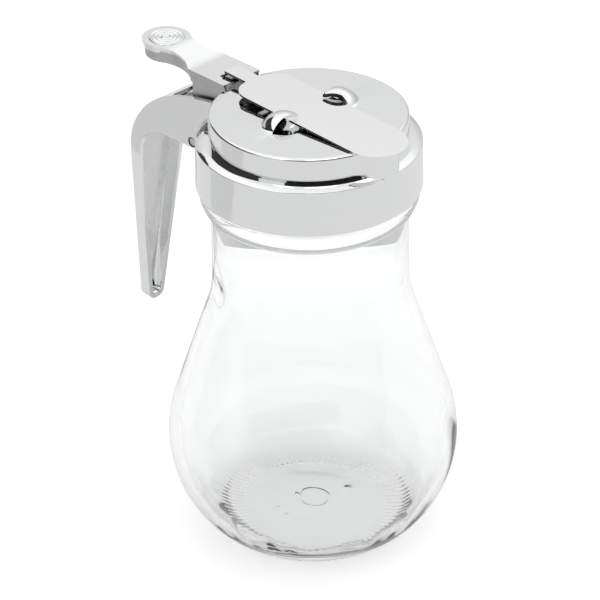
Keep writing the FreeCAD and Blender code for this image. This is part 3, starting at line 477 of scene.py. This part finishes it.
def jar_form(jar, outer, ring):
    """Give the shape that the mould and the blowing leave on the turned profile."""
    seam = math.radians(jar.seam_angle)
    # the knurls' height, and how far above them the outer waves and the seam grow in
    knurled, growth = 3 * MM, 10 * MM
    # how far up the floor's ripples fade, and over what length the neck loses its waves
    ripple_reach, neck_reach = 7 * MM, 20 * MM
    neck_loss, outer_share, middle = 0.75, 0.3, 0.6 * ring

    def inside(angle, radius, height):
        """Waves of the inner surface, calm in the neck, with ripples at the floor."""
        above = min(max((height - jar.neck_start) / neck_reach, 0), 1)
        waves = unevenness(angle, height)
        if radius > middle:
            low = math.exp(-((height - jar.base) / ripple_reach) ** 2)
            waves += low * sum(size * math.sin(turns * angle + sway * math.sin(inner * angle))
                               for size, turns, sway, inner in FLOOR_WAVES)
        return radius + jar.ripple * waves * (1.0 - neck_loss * above), height

    def underside(angle, radius, height):
        """Plain ring and dots that the mould leaves under the foot."""
        mark = math.exp(-((radius - jar.mark_radius) / jar.mark_width) ** 2)
        for out, at, size in DOTS:
            away = math.hypot(radius * math.cos(angle) - out * MM * math.cos(at),
                              radius * math.sin(angle) - out * MM * math.sin(at))
            mark += math.exp(-(away / (size * MM)) ** 2)
        return radius, height + jar.mark_depth * mark

    def form(angle, number, radius, height):
        """Moved radius and height of a point of the profile."""
        if number >= outer:
            return inside(angle, radius, height)
        if radius < ring - 1 * MM:
            return underside(angle, radius, height)
        if height < knurled:
            rib = 0.5 + 0.5 * math.cos(jar.knurls * angle)
            depth = jar.knurl_depth * rib * math.cos(math.pi * height / (2 * knurled))
            return radius - depth, height + 0.8 * depth
        ridge = 0.0
        if height < jar.bead_top:
            off = min(abs(math.remainder(angle - seam, math.pi)), 1.0) * radius
            ridge = jar.seam_height * math.exp(-(off / jar.seam_width) ** 2)
        calm = min((height - knurled) / growth, 1) if height < jar.bead_foot else 0
        swell = outer_share * jar.ripple * (unevenness(angle + 1, height) - 1)
        return radius + calm * (swell + ridge), height

    return form


class DISPENSER_OT_jar(bpy.types.Operator):
    """Build the clear glass jar"""

    bl_idname = "dispenser.jar"
    bl_label = "Glass jar"

    def execute(self, context):
        jar = context.scene.dispenser_jar
        points, outer, ring = jar_profile(jar)
        mesh = blown(points, 4 * jar.knurls, jar_form(jar, outer, ring))
        mesh.name = "Jar"
        piece = new_object("jar_glass", mesh, "dispenser", ["glass_jar"])
        piece.data.materials.append(clear_glass(jar))
        return {"FINISHED"}


# ---------------------------------------------------------------- the head, lever, gate and pin
def finish_faces(piece, material, choose):
    """Give a further material to the flat faces whose middle and normal choose() picks."""
    piece.data.materials.append(material)
    for face in piece.data.polygons:
        if choose(face.center, face.normal):
            face.material_index = len(piece.data.materials) - 1


class DISPENSER_OT_head(bpy.types.Operator):
    """Dress the plated head"""

    bl_idname = "dispenser.head"
    bl_label = "Plated head"

    def execute(self, context):
        settings = context.scene.dispenser_metal
        piece = refined_copy("head_shell", "head", "dispenser")
        piece.data.materials.append(
            metal("Mirror plating", settings.plating, settings.haze, most=0.07, wave=50.0,
                  bump=0.02 * MM))
        round_rim(piece, settings.rim)
        # the web of the grip's channel: how far it reaches forward, sideways and up
        front = HEAD_LOW[0] + 0.22 * (HEAD_HIGH[0] - HEAD_LOW[0])
        aside, top = 8 * MM, HEAD_HIGH[2] - 30 * MM
        finish_faces(
            piece, metal("Rough plating", settings.rough, least=0.2, most=0.38, wave=260.0,
                         bump=0.12 * MM),
            lambda at, facing: at.x < front and facing.x > 0.6
            and abs(at.y) < aside and at.z < top)
        # painted shade: the countersink round each end of the pin gets a near-black tone for the
        # shade in its gap
        pin_low, pin_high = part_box("pivot_pin")
        axis = (Vector(pin_low) + Vector(pin_high)) / 2
        reach = (pin_high[0] - pin_low[0]) / 2 + 0.5 * MM
        end = pin_high[1] - 0.2 * MM
        finish_faces(
            piece, metal("Countersink painted shade", settings.painted_sink_shade, least=0.3, most=0.5, wave=200.0,
                         bump=0.05 * MM),
            lambda at, facing: abs(at.y) > end
            and math.hypot(at.x - axis.x, at.z - axis.z) < reach)
        return {"FINISHED"}


class DISPENSER_OT_lever(bpy.types.Operator):
    """Dress the thumb lever"""

    bl_idname = "dispenser.lever"
    bl_label = "Thumb lever"

    def execute(self, context):
        settings = context.scene.dispenser_metal
        piece = refined_copy(
            "lever_shell", "thumb_lever", "lever", settings.edge)
        piece.data.materials.append(
            metal("Lever plating", settings.plating, settings.haze, most=0.08, wave=70.0,
                  bump=0.02 * MM))
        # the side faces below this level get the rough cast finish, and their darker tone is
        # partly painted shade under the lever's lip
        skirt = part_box("thumb_lever")[1][2] - 2.2 * MM
        finish_faces(
            piece, metal("Cast skirt and painted shade", settings.cast, least=0.22, most=0.4, wave=320.0,
                         bump=0.1 * MM),
            lambda at, facing: at.z < skirt and abs(facing.z) < 0.3)
        return {"FINISHED"}


class DISPENSER_OT_gate(bpy.types.Operator):
    """Dress the sliding gate and the pivot pin"""

    bl_idname = "dispenser.gate"
    bl_label = "Gate and pin"

    def execute(self, context):
        settings = context.scene.dispenser_metal
        piece = refined_copy(
            "gate_plate", "gate", "gate", settings.edge)
        piece.data.materials.append(
            metal("Polished sheet", settings.steel, least=0.05, most=0.12, wave=30.0,
                  bump=0.03 * MM))
        pin = refined_copy("pin_rod", "pivot_pin", "dispenser")
        pin.data.materials.append(
            metal("Drawn wire", settings.wire, least=0.18, most=0.3, wave=200.0,
                  bump=0.01 * MM))
        return {"FINISHED"}


# ---------------------------------------------------------------- the studio
# cards round the object, all facing it: name, azimuth and elevation of its middle and its
# width and height in degrees, how far away it stands, and its tone, which glows above 1
CARDS = (
    ("Dark camera side", 66.0, 31.0, 84.0, 27.0, 1.3, 0.01),
    ("Dark left side", -59.0, 31.0, 76.0, 25.0, 1.3, 0.06),
    ("Softbox right", 62.0, 54.0, 26.0, 16.0, 1.2, 2.2),
    ("Softbox left", 8.0, 52.0, 15.0, 16.0, 1.2, 2.0),
)
# point that the cards face
CARD_AIM = Vector((0, 0, 0.1))
# grey mat on the floor, which only mirror images and the glass show
MAT_CORNER, MAT_SIZE, MAT_TONE, MAT_RISE = (-0.46, -0.43), (0.31, 0.32), 0.8, 0.5 * MM
# the floor's half width, its tone and how far it lies under the jar
FLOOR_REACH, FLOOR_TONE, FLOOR_DROP = 1.5, 0.6, 0.2 * MM
# brightness of the room: height from straight below (0) up to overhead (1), and its tone
SKY = ((0.0, 0.6), (0.3, 0.75), (0.48, 0.93), (0.51, 0.99), (0.56, 1.14), (0.7, 1.26),
       (1.0, 1.15))


def panel(name, corner, side, up, tone, strength=0.0):
    """Flat stage card from a corner and two edge vectors, painted grey or glowing."""
    corner, side, up = Vector(corner), Vector(side), Vector(up)
    mesh = bpy.data.meshes.new(name)
    mesh.from_pydata([corner, corner + side, corner + side + up, corner + up], [], [(0, 1, 2, 3)])
    card = bpy.data.objects.new(name, mesh)
    bpy.context.scene.collection.objects.link(card)
    material, nodes, links, shader = new_material(name + " paint")
    if strength:
        nodes.remove(shader)
        glow = nodes.new("ShaderNodeEmission")
        glow.inputs["Color"].default_value = (tone, tone, tone, 1)
        glow.inputs["Strength"].default_value = strength
        links.new(glow.outputs["Emission"], nodes["Material Output"].inputs["Surface"])
    else:
        shader.inputs["Base Color"].default_value = (tone, tone, tone, 1)
        shader.inputs["Roughness"].default_value = 0.9
    mesh.materials.append(material)
    return card


def add_camera(context, studio):
    """Set up the camera on its sphere round the point that it looks at."""
    turn = Euler((math.pi / 2 - studio.elevation, 0, studio.azimuth)).to_quaternion()
    turn = turn @ Quaternion((0, 0, 1), studio.roll)
    data = bpy.data.cameras.new("Camera")
    data.lens = studio.lens
    data.sensor_width = 36
    data.clip_start, data.clip_end = 0.05, 20
    camera = bpy.data.objects.new("Camera", data)
    camera.rotation_mode = "QUATERNION"
    camera.rotation_quaternion = turn
    camera.location = Vector(studio.aim) + turn @ Vector((0, 0, studio.distance))
    context.scene.collection.objects.link(camera)
    context.scene.camera = camera


def add_floor(studio):
    """White floor: its glow lifts it to white, and the lit part keeps the shadow."""
    floor = panel("Floor", (-FLOOR_REACH, -FLOOR_REACH, -FLOOR_DROP), (2 * FLOOR_REACH, 0, 0),
                  (0, 2 * FLOOR_REACH, 0), FLOOR_TONE)
    nodes = floor.data.materials[0].node_tree.nodes
    links = floor.data.materials[0].node_tree.links
    path = nodes.new("ShaderNodeLightPath")
    total = None
    for ray, amount in (("Is Camera Ray", studio.floor_glow),
                        ("Is Transmission Ray", studio.glass_glow),
                        ("Is Glossy Ray", studio.mirrored_glow)):
        share = nodes.new("ShaderNodeMath")
        share.operation = "MULTIPLY_ADD"
        share.inputs[1].default_value = amount
        share.inputs[2].default_value = 0.0
        links.new(path.outputs[ray], share.inputs[0])
        if total:
            links.new(total.outputs["Value"], share.inputs[2])
        total = share
    shader = nodes["Principled BSDF"]
    shader.inputs["Emission Color"].default_value = (1, 1, 1, 1)
    links.new(total.outputs["Value"], shader.inputs["Emission Strength"])


def add_cards():
    """Cards and mat that the metal and the glass show, hidden from the camera itself."""
    for name, azimuth, elevation, width, height, away, tone in CARDS:
        facing = Euler((math.radians(90 - elevation), 0, math.radians(azimuth)))
        facing = facing.to_quaternion()
        across = facing @ Vector((2 * away * math.tan(math.radians(width / 2)), 0, 0))
        up = facing @ Vector((0, 2 * away * math.tan(math.radians(height / 2)), 0))
        corner = CARD_AIM + facing @ Vector((0, 0, away)) - (across + up) / 2
        card = panel(name, corner, across, up, min(tone, 1.0), tone if tone > 1 else 0.0)
        card.visible_camera = False
    mat = panel("Mat left", (*MAT_CORNER, MAT_RISE), (MAT_SIZE[0], 0, 0), (0, MAT_SIZE[1], 0),
                MAT_TONE)
    mat.visible_camera = mat.visible_shadow = mat.visible_diffuse = False


def add_room(context, studio):
    """Bright room, cloudy and darker below, and plain white for the camera itself."""
    world = bpy.data.worlds.new("White room")
    context.scene.world = world
    world.use_nodes = True
    nodes, links = world.node_tree.nodes, world.node_tree.links
    room = nodes["Background"]
    room.inputs["Color"].default_value = (1, 1, 1, 1)
    place = nodes.new("ShaderNodeTexCoord")
    split = nodes.new("ShaderNodeSeparateXYZ")
    ramp = nodes.new("ShaderNodeValToRGB")
    stops = ramp.color_ramp.elements
    stops[0].position, stops[0].color = SKY[0][0], (SKY[0][1],) * 3 + (1,)
    stops[1].position, stops[1].color = SKY[-1][0], (SKY[-1][1],) * 3 + (1,)
    for position, bright in SKY[1:-1]:
        stops.new(position).color = (bright, bright, bright, 1)
    cloud = nodes.new("ShaderNodeTexNoise")
    cloud.inputs["Scale"].default_value = 1.6
    cloud.inputs["Detail"].default_value = 1.0
    tone = nodes.new("ShaderNodeMapRange")
    tone.inputs["From Min"].default_value = 0.3
    tone.inputs["From Max"].default_value = 0.7
    tone.inputs["To Min"].default_value = 0.92 * studio.sky
    tone.inputs["To Max"].default_value = 1.08 * studio.sky
    level = nodes.new("ShaderNodeMath")
    level.operation = "MULTIPLY"
    direct = nodes.new("ShaderNodeLightPath")
    choice = nodes.new("ShaderNodeMix")
    choice.inputs["B"].default_value = 1.0
    links.new(place.outputs["Generated"], split.inputs["Vector"])
    links.new(split.outputs["Z"], ramp.inputs["Fac"])
    links.new(place.outputs["Generated"], cloud.inputs["Vector"])
    links.new(cloud.outputs["Fac"], tone.inputs["Value"])
    links.new(ramp.outputs["Color"], level.inputs[0])
    links.new(tone.outputs["Result"], level.inputs[1])
    links.new(direct.outputs["Is Camera Ray"], choice.inputs["Factor"])
    links.new(level.outputs["Value"], choice.inputs["A"])
    links.new(choice.outputs["Result"], room.inputs["Strength"])


class DISPENSER_OT_studio(bpy.types.Operator):
    """Set up the camera, the white floor and the soft light"""

    bl_idname = "dispenser.studio"
    bl_label = "Studio"

    def execute(self, context):
        studio = context.scene.dispenser_studio
        add_camera(context, studio)
        add_floor(studio)
        add_cards()
        add_room(context, studio)
        context.scene.view_settings.view_transform = "Standard"
        return {"FINISHED"}


class DISPENSER_PT_panel(bpy.types.Panel):
    """Lists the operators in the sidebar"""

    bl_idname = "DISPENSER_PT_panel"
    bl_label = "Syrup dispenser"
    bl_space_type = "VIEW_3D"
    bl_region_type = "UI"
    bl_category = "Dispenser"

    def draw(self, context):
        for operator in OPERATORS:
            self.layout.operator(operator.bl_idname)


SETTINGS = (
    ("dispenser_jar", JarSettings), ("dispenser_metal", MetalSettings),
    ("dispenser_studio", StudioSettings))
OPERATORS = (DISPENSER_OT_jar, DISPENSER_OT_head, DISPENSER_OT_lever, DISPENSER_OT_gate,
             DISPENSER_OT_studio)


def register():
    for name, group in SETTINGS:
        bpy.utils.register_class(group)
        setattr(bpy.types.Scene, name, PointerProperty(type=group))
    for kind in (*OPERATORS, DISPENSER_PT_panel):
        bpy.utils.register_class(kind)


def unregister():
    for kind in reversed((*OPERATORS, DISPENSER_PT_panel)):
        bpy.utils.unregister_class(kind)
    for name, group in reversed(SETTINGS):
        delattr(bpy.types.Scene, name)
        bpy.utils.unregister_class(group)


def main():
    """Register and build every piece."""
    register()
    bpy.ops.dispenser.jar()
    bpy.ops.dispenser.head()
    bpy.ops.dispenser.lever()
    bpy.ops.dispenser.gate()
    bpy.ops.dispenser.studio()


if __name__ == "__main__":
    main()
